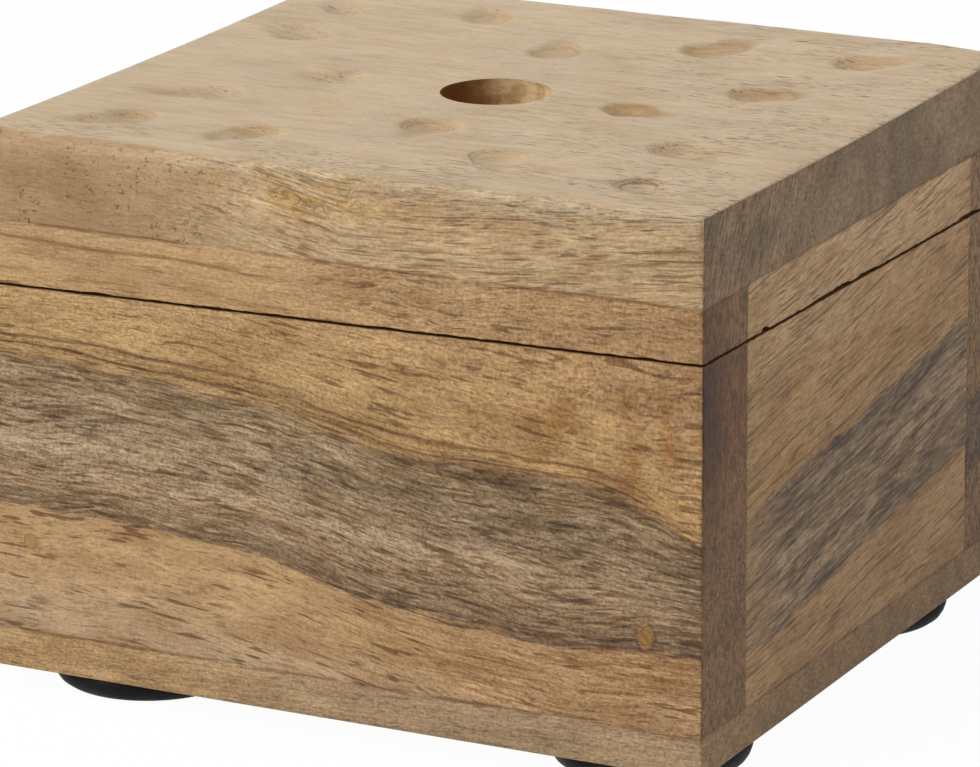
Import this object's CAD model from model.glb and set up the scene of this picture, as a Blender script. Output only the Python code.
# %% [markdown]
# A hardwood spice box is a good first lesson in wood. Its boards are plain, so nearly everything
# that makes it look real is in the timber: grain that runs on across a saw cut, end grain that
# drinks the oil and goes dark, pores, tool marks and tired edges. The measured boards come in as
# a fixed frame, and each step below dresses one part of them.

# %% Load the measured boards
import math

import bmesh
import bpy
from mathutils import Matrix, Vector, noise


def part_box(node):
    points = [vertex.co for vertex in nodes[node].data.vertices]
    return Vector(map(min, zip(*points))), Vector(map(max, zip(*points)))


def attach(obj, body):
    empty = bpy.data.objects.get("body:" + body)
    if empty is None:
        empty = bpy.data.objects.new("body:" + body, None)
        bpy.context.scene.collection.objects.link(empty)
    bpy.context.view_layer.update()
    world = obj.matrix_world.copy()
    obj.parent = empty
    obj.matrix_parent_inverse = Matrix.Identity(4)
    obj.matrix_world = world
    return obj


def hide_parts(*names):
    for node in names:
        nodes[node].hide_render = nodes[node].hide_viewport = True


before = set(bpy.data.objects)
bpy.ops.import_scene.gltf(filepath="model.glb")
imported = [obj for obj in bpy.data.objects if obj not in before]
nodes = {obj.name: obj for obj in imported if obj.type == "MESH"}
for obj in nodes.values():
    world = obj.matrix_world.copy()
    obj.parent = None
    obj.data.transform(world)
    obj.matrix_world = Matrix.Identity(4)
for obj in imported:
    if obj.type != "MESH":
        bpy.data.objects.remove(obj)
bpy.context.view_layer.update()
MM = 0.001  # the frame is in metres and a maker thinks in millimetres
print("boards and fittings in the frame:", len(nodes))

# %% [markdown]
# The camera stands to the right of the box and a little above it, quite far off with a long lens,
# which is why the box's edges stay nearly parallel. A long lens is written as a focal length in
# millimetres on a 36 mm wide sensor.

# %% Set up the camera
VIEW_AZIMUTH = math.radians(27.008)
VIEW_ELEVATION = math.radians(16.405)
VIEW_ROLL = math.radians(-0.328)
EYE_MM = (330.33, -651.78, 248.72)
SENSOR_WIDTH = 36.0
FOCAL_LENGTH = 218.74

scene = bpy.context.scene
scene.view_settings.view_transform = "Standard"

to_right = Vector((math.cos(VIEW_AZIMUTH), math.sin(VIEW_AZIMUTH), 0))
flat_back = Vector((math.sin(VIEW_AZIMUTH), -math.cos(VIEW_AZIMUTH), 0))
to_eye = flat_back * math.cos(VIEW_ELEVATION) + Vector((0, 0, math.sin(VIEW_ELEVATION)))
upward = to_eye.cross(to_right)
rolled_right = to_right * math.cos(VIEW_ROLL) + upward * math.sin(VIEW_ROLL)
rolled_up = upward * math.cos(VIEW_ROLL) - to_right * math.sin(VIEW_ROLL)

camera_data = bpy.data.cameras.new("camera")
camera_data.sensor_width = SENSOR_WIDTH
camera_data.lens = FOCAL_LENGTH
camera = bpy.data.objects.new("camera", camera_data)
turn = Matrix((rolled_right, rolled_up, to_eye)).transposed().to_4x4()
camera.matrix_world = Matrix.Translation(Vector(EYE_MM) * MM) @ turn
scene.collection.objects.link(camera)
scene.camera = camera
print("camera looks along", [round(c, 3) for c in -to_eye])

# %% [markdown]
# Materials are built from nodes, and a long chain of nodes soon gets hard to read. So every node's
# output is wrapped in a small class. A sum such as x - 2 on such a value adds a Math node, and its
# methods add the other nodes, so a material reads like a recipe from top to bottom.

# %% A value that adds nodes
class Value:
    """One node's output. Sums and methods on it add more nodes and hand back their outputs."""

    def __init__(self, recipe, socket):
        self.recipe = recipe
        self.socket = socket

    def math(self, operation, other=0.0):
        return self.recipe.add("ShaderNodeMath", {0: self, 1: other}, operation=operation)

    def __add__(self, other):
        return self.math("ADD", other)

    def __sub__(self, other):
        return self.math("SUBTRACT", other)

    def __rsub__(self, other):
        return self.recipe.add("ShaderNodeMath", {0: other, 1: self}, operation="SUBTRACT")

    def __mul__(self, other):
        return self.math("MULTIPLY", other)

    def fade(self, low, high, at_low=0.0, at_high=1.0):
        """A smooth step from at_low to at_high as the value goes from low to high."""
        ends = {0: self, 1: low, 2: high, 3: at_low, 4: at_high}
        return self.recipe.add("ShaderNodeMapRange", ends, interpolation_type="SMOOTHSTEP")

    def bell(self, middle, half):
        """1 at the middle, fading to 0 at half on both sides."""
        return (self - middle).math("ABSOLUTE").fade(0.0, half, 1.0, 0.0)

    def between(self, a, b):
        """A number from a to b, with this value as the share of b."""
        return self.recipe.add("ShaderNodeMix", {0: self, 2: a, 3: b})

    def mix(self, a, b):
        """A colour from a to b, with this value as the share of b."""
        return self.recipe.mix(self, a, b)

    def tinted(self, share, tint):
        """This colour multiplied by a tint, by a share."""
        return self.recipe.mix(share, self, tint, "MULTIPLY")

    def ramp(self, stops):
        """A colour ramp; stops are (place, colour) pairs over the value's own range."""
        low, high = stops[0][0], stops[-1][0]
        share = self.recipe.add("ShaderNodeMapRange", {0: self, 1: low, 2: high})
        ramped = self.recipe.add("ShaderNodeValToRGB", {0: share})
        elements = ramped.socket.node.color_ramp.elements
        elements[1].position = 1.0
        elements[0].color, elements[1].color = stops[0][1], stops[-1][1]
        for place, colour in stops[1:-1]:
            elements.new((place - low) / (high - low)).color = colour
        return ramped

    def scaled(self, scale, shift=(0, 0, 0)):
        """This place multiplied axis by axis, then moved."""
        wanted = {0: self, 1: scale, 2: shift}
        return self.recipe.add("ShaderNodeVectorMath", wanted, operation="MULTIPLY_ADD")

    def length(self):
        return self.recipe.add("ShaderNodeVectorMath", {0: self}, "Value", operation="LENGTH")

    def noise(self, detail=2.0, roughness=0.5):
        wanted = {"Vector": self, "Scale": 1.0, "Detail": detail, "Roughness": roughness}
        return self.recipe.add("ShaderNodeTexNoise", wanted)

    def drawn_out(self, long, wide, seed, detail=2.0):
        """Noise stretched along the grain, with features of about long by wide millimetres."""
        shift = (seed, 2.3 * seed, 3.7 * seed)
        return self.scaled((1 / long, 1 / wide, 1 / wide), shift).noise(detail)

    def sway(self, long, wide, seed, amount, detail=1.0):
        """Slow noise about zero, up to about half the amount each way."""
        return (self.drawn_out(long, wide, seed, detail) - 0.5) * amount


print("values can add nodes")

# %% [markdown]
# A recipe owns the node tree of one material. It adds a node of any kind, feeds it numbers or other
# values, and ends with the shader. Colours are easier to judge as they read on a screen, so they
# are written that way and turned into the linear numbers that a shader wants.

# %% A recipe for one material
def tone(red, green, blue):
    """A colour as it reads on a screen, 0 to 255, turned into the linear values of a shader."""
    return tuple(((c / 255 + 0.055) / 1.055) ** 2.4 for c in (red, green, blue)) + (1.0,)


class Recipe:
    """A node tree that is filled one node at a time."""

    def __init__(self, tree):
        self.tree = tree
        tree.nodes.clear()

    def add(self, kind, inputs, output=0, **settings):
        """Adds a node, sets it up, feeds its inputs and returns one of its outputs."""
        made = self.tree.nodes.new(kind)
        for name, value in settings.items():
            setattr(made, name, value)
        for key, value in inputs.items():
            if isinstance(value, Value):
                self.tree.links.new(value.socket, made.inputs[key])
            else:
                made.inputs[key].default_value = value
        return Value(self, made.outputs[output]) if made.outputs else made

    def point(self, x, y, z):
        return self.add("ShaderNodeCombineXYZ", {0: x, 1: y, 2: z})

    def mix(self, share, a, b, blend="MIX"):
        wanted = {0: share, 6: a, 7: b}
        return self.add("ShaderNodeMix", wanted, 2, data_type="RGBA", blend_type=blend)

    def surface(self, shader):
        """Ends the recipe with its output node."""
        return self.add("ShaderNodeOutputMaterial", {"Surface": shader})

    def finish(self, colour, roughness, height, depth, strength, more):
        """Ends the recipe with a shader whose fine relief, up to depth in metres, follows a height."""
        relief = self.add("ShaderNodeBump", {"Height": height, "Distance": depth, "Strength": strength})
        wanted = {"Base Color": colour, "Roughness": roughness, "Normal": relief, **more}
        return self.surface(self.add("ShaderNodeBsdfPrincipled", wanted))


def new_material(name):
    """An empty material and the recipe that fills it."""
    material = bpy.data.materials.new(name)
    material.use_nodes = True
    return material, Recipe(material.node_tree)


print("recipe helper ready")

# %% [markdown]
# The box stands on a plain pale floor under soft studio light. One broad lamp hangs up to the left
# and the world gives an even fill, so the lid is lightest, the front is middling and the right side
# falls into shade. The floor and the world look white to the camera through the Light Path node,
# which adds no light to the box, and the floor keeps a faint shadow.

# %% Floor, world and lamp
WHITE = (1.0, 1.0, 1.0, 1.0)
FLOOR_TONE = (0.86, 0.86, 0.85, 1.0)
FLOOR_SHOWN_WHITE = 0.97
FLOOR_HALF_WIDTH = 3.0
FILL_STRENGTH = 0.30
LAMP_POWER = 17.8
LAMP_WIDTH = 1.1
LAMP_PLACE = (-0.62, -0.52, 1.05)
LAMP_AIM = (0.0, 0.0, 0.04)


def seen_directly(recipe):
    """1 for rays from the camera, and for those that mirror or pass through, else 0."""
    names = ("Is Camera Ray", "Is Glossy Ray", "Is Transmission Ray")
    paths = [recipe.add("ShaderNodeLightPath", {}, name) for name in names]
    return paths[0].math("MAXIMUM", paths[1]).math("MAXIMUM", paths[2])


reach = FLOOR_HALF_WIDTH
floor_corners = [(-reach, -reach, 0), (reach, -reach, 0), (reach, reach, 0), (-reach, reach, 0)]
floor_mesh = bpy.data.meshes.new("floor")
floor_mesh.from_pydata(floor_corners, [], [(0, 1, 2, 3)])
floor = bpy.data.objects.new("floor", floor_mesh)
scene.collection.objects.link(floor)

floor_paint, recipe = new_material("floor_paint")
matt = recipe.add("ShaderNodeBsdfDiffuse", {"Color": FLOOR_TONE})
white = recipe.add("ShaderNodeEmission", {"Color": WHITE, "Strength": 1.0})
share = seen_directly(recipe) * FLOOR_SHOWN_WHITE
recipe.surface(recipe.add("ShaderNodeMixShader", {0: share, 1: matt, 2: white}))
floor_mesh.materials.append(floor_paint)

world = bpy.data.worlds.new("studio")
world.use_nodes = True
scene.world = world
recipe = Recipe(world.node_tree)
fill = recipe.add("ShaderNodeBackground", {"Color": WHITE, "Strength": FILL_STRENGTH})
shown = recipe.add("ShaderNodeBackground", {"Color": WHITE, "Strength": 1.0})
both = recipe.add("ShaderNodeMixShader", {0: seen_directly(recipe), 1: fill, 2: shown})
recipe.add("ShaderNodeOutputWorld", {"Surface": both})

lamp_data = bpy.data.lights.new("softbox", "AREA")
lamp_data.energy = LAMP_POWER
lamp_data.size = LAMP_WIDTH
lamp = bpy.data.objects.new("softbox", lamp_data)
lamp.location = LAMP_PLACE
lamp.rotation_euler = (Vector(LAMP_AIM) - lamp.location).to_track_quat("-Z", "Y").to_euler()
scene.collection.objects.link(lamp)
print("stage set")

# %% [markdown]
# Every outer edge of the box is a little soft from sanding, no face is quite flat, and the glue
# lines are fine grooves. Modelling that board by board would open steps where boards meet flush.
# Instead one function says where any point of the sharp, closed box ends up once it is worn, and
# every board is bent by the same function, so flush joints stay flush.

# %% Sizes of the worn box and three small helpers
base_low, base_high = (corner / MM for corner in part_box("base_board"))
lid_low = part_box("lid_board")[0] / MM
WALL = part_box("front_wall")[1].y / MM - base_low.y
inner_y = base_high.y - WALL


def wobble(x, y, z, size, seed=0.0):
    """Smooth noise from about -1 to 1 whose bumps are about size millimetres apart."""
    return noise.noise(Vector((x / size + seed, y / size - seed, z / size + 2 * seed)))


def clamp(value, low=0.0, high=1.0):
    """A value held between two limits."""
    return min(max(value, low), high)


def ease(value, low, high):
    """A smooth step from 0 to 1 between low and high."""
    share = clamp((value - low) / (high - low))
    return share * share * (3 - 2 * share)


print("box is", [round(b - a, 1) for a, b in zip(base_low, base_high)], "mm at its base")

# %% [markdown]
# A worn edge is a rounding, and its radius differs from place to place: small along the sides, large
# at the lid's front left corner, where a thumb rubs it. One function finds the edge nearest to a
# point and gives its radius, so that the rounding changes smoothly along the box.

# %% How round each edge is
LID_THICKNESS = 11.1
LID_EDGE_TOP = lid_low.z + LID_THICKNESS
LID_CUP = 0.5
SIDE_ROUND = 0.32
LOWER_ROUND = 0.35


def lid_height(y):
    """Height of the lid's hollow upper face before carving."""
    return LID_EDGE_TOP - LID_CUP * (1 - (y / base_high.y) ** 2)


def lid_round(x, y, nearest):
    """Radius of the lid's upper edge, widest at the rubbed front left corner."""
    if nearest == "front":
        return 3.2 - 2.4 * ease(x, -48, 0) + 0.3 * wobble(x, 0, 0, 6, 5.3)
    if nearest == "left":
        return 3.2 - 2.8 * ease(y, -47, -40)
    if nearest == "back":
        return 0.3 + 1.5 * ease(x, 38, 50)
    return 0.4 + 1.4 * ease(y, 32, 47)


def edge_round(x, y, z):
    """Radius of whichever outer edge is nearest to a point."""
    ways = {"left": x - base_low.x, "right": base_high.x - x}
    ways.update(front=y - base_low.y, back=base_high.y - y)
    nearest = min(ways, key=ways.get)
    below_top = lid_height(y) - z
    radius = SIDE_ROUND * (1 + 0.6 * wobble(x, y, z, 7, 3.1))
    radius += (lid_round(x, y, nearest) - radius) * (1 - ease(below_top, 1.5, 7))
    return radius + (LOWER_ROUND - radius) * (1 - ease(z - base_low.z, 0.5, 2))


print("lid's top is hollow by", LID_CUP, "mm")

# %% [markdown]
# Rounding itself is a short piece of geometry. The box is shrunk by the radius, a point is pulled to
# the nearest place of that smaller core, and it may stand off from there by no more than the radius.
# A slow wave over the faces and a groove at the glue lines are added on top.

# %% Where a point ends up
FACE_WAVE = 0.14
FACE_REACH = 2.0
GROOVE = 0.11
GROOVE_REACH = 0.6
ON_LINE = 0.01


def worn(point):
    """Where a point of the sharp box ends up after sanding and handling."""
    x, y, z = point
    depth_x = min(x - base_low.x, base_high.x - x)
    depth_y = min(y - base_low.y, base_high.y - y)
    inward_x = -math.copysign(1, x)
    inward_y = -math.copysign(1, y)
    hollow = FACE_WAVE * (0.55 + 0.45 * wobble(x, y, z, 19, 1.7))
    move_x = hollow * clamp(1 - depth_x / FACE_REACH)
    move_y = hollow * clamp(1 - depth_y / FACE_REACH)
    on_glue_line = min(abs(z - base_high.z), abs(z - lid_low.z)) < ON_LINE
    on_corner_joint = abs(abs(y) - inner_y) < ON_LINE
    if on_glue_line or on_corner_joint:
        groove = GROOVE * clamp(0.45 + 0.9 * wobble(x, y, z, 5, 8.3))
        move_x += groove * clamp(1 - depth_x / GROOVE_REACH)
        move_y += groove * clamp(1 - depth_y / GROOVE_REACH) * on_glue_line
    radius = edge_round(x, y, z)
    low = Vector((base_low.x + radius, base_low.y + radius, base_low.z + radius))
    high = Vector((base_high.x - radius, base_high.y - radius, lid_height(y) - radius))
    core = Vector(clamp(c, a, b) for c, a, b in zip(point, low, high))
    out = Vector(point) - core
    if out.length > radius:
        out *= radius / out.length
    return core + out + Vector((inward_x * move_x, inward_y * move_y, 0))


corner = worn(base_low)
print("a lower corner moves by", round((corner - base_low).length, 2), "mm")

# %% [markdown]
# The lid was sawn from the closed box, and the saw tore the edges of its cut. From the front the
# cut is a thin ragged line, and on the right side a strip has lifted and left a wider gap. The tear
# is a height that is taken off along the cut's rim and dies away inside the board and below it.

# %% The torn saw cut
front_top, back_top, left_top, right_top = (
    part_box(f"{place}_wall")[1].z / MM for place in ("front", "back", "left", "right")
)
CUT_SLOPE_X = (right_top - left_top) / (2 * base_high.x - WALL)
CUT_SLOPE_Y = (back_top - front_top) / (inner_y - base_low.y)
CUT_GAP = 0.3
TEAR_DEPTH = 1.3
TEAR_HEIGHT = 2.2
# Chips on the right side: middle along Y, half width, and how much they lift the lid's edge
RIGHT_CHIPS = [(-29.3, 1.1, 0.5), (-12.0, 5.0, 0.18), (-6.5, 3.0, 0.3)]
RIGHT_CHIPS += [(1.0, 4.0, 0.2), (33.0, 3.0, 0.25)]


def cut_height(x, y, side):
    """Height of the sawn face: side is -1 on the box and 1 on the lid."""
    box_side = front_top + CUT_SLOPE_X * (x - base_high.x) + CUT_SLOPE_Y * (y - base_low.y)
    return box_side + (CUT_GAP if side > 0 else 0)


def tear(x, y, side):
    """How much wood the saw tore off the rim at a point of the outer face."""
    run = x + 3 * y
    ragged = 0.02 + 0.13 * wobble(run, side, 0, 1.4) + 0.05 * wobble(run, side, 4, 6)
    splinter = 0.36 * max(0, wobble(run, 5 * side, 0, 3.4, 4.4) - 0.2)
    lost = max(0.0, ragged) + splinter
    if x > base_high.x - 1 and side > 0:
        for middle, half, lift in RIGHT_CHIPS:
            lost += lift * (1 - ease(abs(y - middle), 0.5 * half, half))
    return lost


def torn(point, side):
    """A worn point moved away from the saw cut where the rim is torn."""
    x, y, z = point
    depth = min(x - base_low.x, base_high.x - x, y - base_low.y, base_high.y - y)
    away = abs(z - cut_height(x, y, side))
    share = clamp(1 - depth / TEAR_DEPTH) ** 2 * clamp(1 - away / TEAR_HEIGHT)
    return Vector((x, y, z + side * share * tear(x, y, side))) if share > 0 else Vector(point)


print("saw cut rises", round(CUT_SLOPE_X * 100, 2), "mm to the right over the box")

# %% [markdown]
# A board from the frame has only its corners, which is too few to bend. Each one is copied and
# sliced into a fine grid by flat cuts, closest near the edges where the shape turns. Slicing keeps
# the nail holes and hinge recesses that the measured board already has.

# %% Slice a board
EDGE_STEPS = (0.08, 0.2, 0.4, 0.8, 1.4, 2.2)
CUT_STEPS = (0.1, 0.3, 0.7, 1.3, 2.2)
JOINT_STEP = (0.3,)
FLAT_ANGLE = math.radians(0.2)


def grid_places(low, high, step, low_steps, high_steps):
    """Places for slices between two ends: close ones near each end and even ones between."""
    first, last = low + max(low_steps), high - max(high_steps)
    count = max(1, round((last - first) / step))
    even = [first + (last - first) * i / count for i in range(count + 1)]
    return sorted({*even, *(low + s for s in low_steps), *(high - s for s in high_steps)})


def sliced(node, planes):
    """A copy of a board's mesh, cut by planes given as (point in mm, normal)."""
    grid = bmesh.new()
    grid.from_mesh(nodes[node].data)
    bmesh.ops.remove_doubles(grid, verts=grid.verts, dist=1e-6)
    bmesh.ops.dissolve_limit(grid, angle_limit=FLAT_ANGLE, verts=grid.verts, edges=grid.edges)
    for point, normal in planes:
        everything = grid.verts[:] + grid.edges[:] + grid.faces[:]
        bmesh.ops.bisect_plane(
            grid, geom=everything, dist=1e-7, plane_co=Vector(point) * MM, plane_no=normal
        )
    return grid


print("cuts near an edge:", len(EDGE_STEPS))

# %% [markdown]
# A bent grid is still only a list of points and faces. To become a piece of the model it is turned
# into a mesh, shaded smooth except at sharp edges, given its material, and tied to the body that it
# moves with. It also says which measured nodes it stands for, so that those are hidden.

# %% Turn a grid into a piece
def finished_piece(name, grid, body, material, replaced, smooth_angle=40):
    """Turns a bmesh into a piece that rides on a body and stands for the named nodes."""
    bmesh.ops.recalc_face_normals(grid, faces=grid.faces)
    mesh = bpy.data.meshes.new(name)
    grid.to_mesh(mesh)
    grid.free()
    old_normals = mesh.attributes.get("custom_normal")
    if old_normals:
        mesh.attributes.remove(old_normals)
    mesh.shade_smooth()
    mesh.set_sharp_from_angle(angle=math.radians(smooth_angle))
    mesh.materials.clear()
    mesh.materials.append(material)
    piece = bpy.data.objects.new(name, mesh)
    scene.collection.objects.link(piece)
    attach(piece, body)
    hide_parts(*replaced)
    return piece


print("piece helper ready")

# %% [markdown]
# A wall and the rail above it differ only in which side of the saw cut they lie on. Both get slices
# that follow the sloping cut, so that the torn rim has points to move, and close slices only at the
# sides that face out, because joints to other boards need no rounding.

# %% Walls and rails
AXES = (Vector((1, 0, 0)), Vector((0, 1, 0)), Vector((0, 0, 1)))
LONG_STEP = 0.5
INNER_STEP = 2.5
CUT_ROOM = 4.0


def wall_planes(node, side, long_axis):
    """Slicing planes for a wall (side -1) or a lid rail (side 1) that runs along an axis."""
    low, high = (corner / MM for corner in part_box(node))
    x_step, y_step = (LONG_STEP if long_axis == axis else INNER_STEP for axis in (0, 1))
    left_steps = EDGE_STEPS if long_axis == 0 or low.x < 0 else JOINT_STEP
    right_steps = EDGE_STEPS if long_axis == 0 or high.x > 0 else JOINT_STEP
    x_places = grid_places(low.x, high.x, x_step, left_steps, right_steps)
    front_steps = EDGE_STEPS if low.y < -inner_y - 1 else JOINT_STEP
    back_steps = EDGE_STEPS if high.y > inner_y + 1 else JOINT_STEP
    y_places = grid_places(low.y, high.y, y_step, front_steps, back_steps)
    z_low = low.z if side < 0 else high.z - CUT_ROOM
    z_high = high.z - CUT_ROOM if side < 0 else high.z
    z_places = grid_places(z_low, z_high, INNER_STEP, JOINT_STEP, JOINT_STEP)
    planes = [((0, 0, z), AXES[2]) for z in z_places]
    cut_normal = Vector((-CUT_SLOPE_X, -CUT_SLOPE_Y, 1))
    planes += [((0, 0, cut_height(0, 0, side) + side * s), cut_normal) for s in CUT_STEPS]
    planes += [((0, y, 0), AXES[1]) for y in y_places]
    planes += [((x, 0, 0), AXES[0]) for x in x_places]
    return planes


def worn_wall(node, side, long_axis, material):
    """A wall or rail with worn edges and a torn saw cut."""
    grid = sliced(node, wall_planes(node, side, long_axis))
    for vertex in grid.verts:
        sharp = vertex.co / MM
        vertex.co = (worn(sharp) + torn(sharp, side) - sharp) * MM
    body = "box" if side < 0 else "lid"
    return finished_piece("worn_" + node, grid, body, material, [node])


print("step along a board:", LONG_STEP, "mm")

# %% [markdown]
# Wood is solid, so its figure is not a picture on the outside: the same fibres show as long dashes
# on a face and as dots where the board is cut across. A texture that lives in three dimensions
# gives both from one recipe. Noise is stretched along the grain to make streaks, fibres and pores,
# and end grain is found from the direction that the surface faces.

# %% Grain in three dimensions
def board_place(recipe):
    """x, y and z of the shaded point in millimetres, fixed to the board."""
    place = recipe.add("ShaderNodeTexCoord", {}, "Object")
    in_mm = place.scaled((1 / MM, 1 / MM, 1 / MM))
    return [recipe.add("ShaderNodeSeparateXYZ", {0: in_mm}, axis) for axis in range(3)]


def facing(recipe, axis):
    """How squarely the surface faces along an axis, from 0 to 1, either way round."""
    normal = recipe.add("ShaderNodeTexCoord", {}, "Normal")
    return recipe.add("ShaderNodeSeparateXYZ", {0: normal}, axis).math("ABSOLUTE")


def pore_dashes(lie, seed, crowd):
    """Dark dashes where the wood's pores are cut open: fine ones all over and bold ones in crowds."""
    bold = lie.drawn_out(4.6, 0.6, seed, 1).fade(0.59, 0.68)
    fine = lie.drawn_out(2.4, 0.38, seed + 1, 1).fade(0.57, 0.7)
    return (bold * crowd).math("MAXIMUM", fine * 0.55)


def banded(base, lie, band, seed, dark_tint):
    """Breaks the stained band up into short dark and pale streaks."""
    dark = lie.drawn_out(4.6, 0.52, seed, 2).fade(0.48, 0.64)
    base = base.tinted(dark * band, dark_tint)
    bright = lie.drawn_out(4, 0.55, seed + 1, 2).fade(0.5, 0.66)
    return (bright * band * 0.5).mix(base, tone(182, 158, 127))


print("grain helpers ready")

# %% [markdown]
# Dirt settles in the glue lines and along the saw cut, and the sawn rims themselves were never
# oiled, so they are paler, with saw lines across them and a scorched outer edge. All of that depends
# only on where a point is and which way it faces, so two functions serve every board.

# %% Glue lines and sawn rims
def joint_lines(recipe, colour, x, y, z):
    """Darkens a colour in fine broken lines where boards are glued and along the saw cut."""
    upper, lower = (z.bell(height, 0.4) for height in (lid_low.z, base_high.z))
    slope = x * CUT_SLOPE_X + y * CUT_SLOPE_Y
    cut = (z - slope - (cut_height(0, 0, -1) + CUT_GAP / 2)).bell(0.0, 0.42)
    place = recipe.add("ShaderNodeTexCoord", {}, "Object")
    broken = place.scaled((160, 160, 160)).noise().fade(0.3, 0.6)
    upright = facing(recipe, 2).fade(0.7, 0.3)
    lines = upper.math("MAXIMUM", lower) * (broken * upright)
    colour = colour.tinted(lines, (0.56, 0.47, 0.38, 1))
    return colour.tinted(cut * upright, (0.6, 0.48, 0.37, 1))


def sawn_faces(recipe, colour, lie, x, y):
    """Lightens the sawn rims, marks them with saw lines and scorches their edge."""
    sawn = facing(recipe, 2).fade(0.7, 0.95)
    marks = lie.scaled((1 / 0.5, 0.0, 1 / 14)).noise(1.0)
    raw = marks.fade(0.35, 0.65).mix(tone(164, 134, 99), tone(184, 156, 119))
    colour = (sawn * 0.7).mix(colour, raw)
    out_x = x.math("ABSOLUTE").fade(base_high.x - 1.3, base_high.x - 0.6)
    out_y = y.math("ABSOLUTE").fade(base_high.y - 1.3, base_high.y - 0.6)
    rim = out_x.math("MAXIMUM", out_y) * sawn
    return colour.tinted(rim, (0.44, 0.35, 0.27, 1))


print("joint and rim helpers ready")

# %% [markdown]
# The last layer is the same for every board. Streaks, veins, fibres and single grains each come
# from noise of their own length and width. Their sum lightens and darkens the board's colour, pores
# are laid over it, and the end grain goes dark because it drinks more oil. The same noise makes a
# very fine relief, so that light breaks on the fibres too.

# %% Timber, from the colour to the shader
END_TINT = (0.60, 0.54, 0.49, 1.0)
PORE_TINT = (0.42, 0.35, 0.28, 1.0)
DEEP_SHADE = (0.42, 0.36, 0.30, 1.0)
HIGH_SHADE = (1.6, 1.62, 1.66, 1.0)
FIBRE_RELIEF = 0.00012


def timber(
    recipe, material, base, lie, grain_axis, seed, pores, contrast=1.0, end_tint=END_TINT, extra=0.0,
    grit=1.3, fibre_length=1.2, speckle=3.0, calm_rims=True, veins=0.9, ripple=0.0,
):
    """Streaks, fibres, pores and dark end grain over a base colour, down to the shader."""
    end = facing(recipe, grain_axis).fade(0.55, 0.9)
    streak = lie.sway(40, 2.4, seed, 0.6, 3)
    vein = lie.sway(7, 0.45, seed + 1, veins, 2)
    fibre = lie.sway(fibre_length, 0.24, seed + 2, 1.2, 2)
    grains = lie.sway(0.42, 0.32, seed + 3, grit, 1)
    curl = lie.sway(0.5, 0.9, seed + 4, ripple, 1)
    light = (streak + vein + fibre + grains + curl) * contrast
    if calm_rims:
        calm = facing(recipe, 2).fade(0.7, 0.95, 1.0, 0.4)
        light = light * calm
        pores = pores * calm
    specks = lie.scaled((1 / 3, 1 / 1.0, 1 / 0.55)).noise(2.0)
    light = light + (specks - 0.5) * speckle * end + extra
    shade = light.ramp([(-0.6, DEEP_SHADE), (0.0, WHITE), (0.6, HIGH_SHADE)])
    colour = base.tinted(1.0, shade)
    colour = colour.tinted(pores * (1.0 - end * 0.6), PORE_TINT)
    colour = colour.tinted(end, end_tint)
    height = vein + fibre * 0.6 + curl * 0.5 - pores * 1.2
    recipe.finish(colour, vein * 0.3 + 0.6, height, FIBRE_RELIEF, 0.6, {"Specular IOR Level": 0.3})
    return material


print("timber layer ready")

# %% [markdown]
# The front board carries the box's one bold mark, a wide grey band where the heartwood was stained.
# The band follows the growth rings, which dip as they run to the right. So the board gets its own
# height, which is measured from the middle of the band and bends with the rings.

# %% Front board: growth rings
BAND_MIDDLE = 31.0
BAND_DIP = 3.6
CORNER_DROP = 7.0


def front_rings(recipe, x, y, z, plain):
    """Height above the band's middle, bent with the growth rings, and the place along the grain."""
    dip = ((x - 2.0) * (1 / 16)).math("TANH") * BAND_DIP * z.fade(66, 38)
    ring = z - BAND_MIDDLE + dip + plain.sway(24, 10, 4.0, 2.3) + plain.sway(8, 3.6, 6.0, 0.8)
    ring = ring + x.bell(-8, 34) * 0.8
    rightward = ((x - 34) * (1 / 16)).math("MAXIMUM", 0.0).math("POWER", 1.8)
    drop = rightward * ring.fade(-6, 8) * CORNER_DROP
    ring = ring - x.fade(28, 44) * ring.fade(0, -6)
    lie = recipe.point(x, ring + drop * ring.fade(16, 4, 0.0, 0.35), y)
    return ring + drop, lie


print("the band dips", 2 * BAND_DIP, "mm to the right")

# %% [markdown]
# A colour ramp along that height lays down every stripe at once: golden wood, a dark line at the
# band's lower edge, grey brown inside it and another dark line above. The heights are feathered
# first, so that the stripes fray along the grain, and smoky streaks break up the band.

# %% Front board: stripes and the stained band
FRONT_STRIPES = [
    (-24.0, tone(182, 153, 119)),
    (-18.5, tone(184, 150, 110)),
    (-16.0, tone(184, 149, 106)),
    (-10.4, tone(184, 148, 105)),
    (-9.8, tone(116, 91, 64)),
    (-8.6, tone(132, 107, 78)),
    (-5.0, tone(164, 137, 104)),
    (-2.0, tone(171, 146, 114)),
    (0.5, tone(162, 138, 107)),
    (3.5, tone(159, 135, 105)),
    (6.5, tone(156, 132, 101)),
    (8.2, tone(160, 136, 101)),
    (9.4, tone(132, 105, 74)),
    (10.0, tone(158, 128, 88)),
    (11.0, tone(177, 143, 96)),
    (19.0, tone(183, 148, 101)),
    (24.0, tone(182, 146, 103)),
    (30.0, tone(183, 148, 106)),
]


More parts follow.
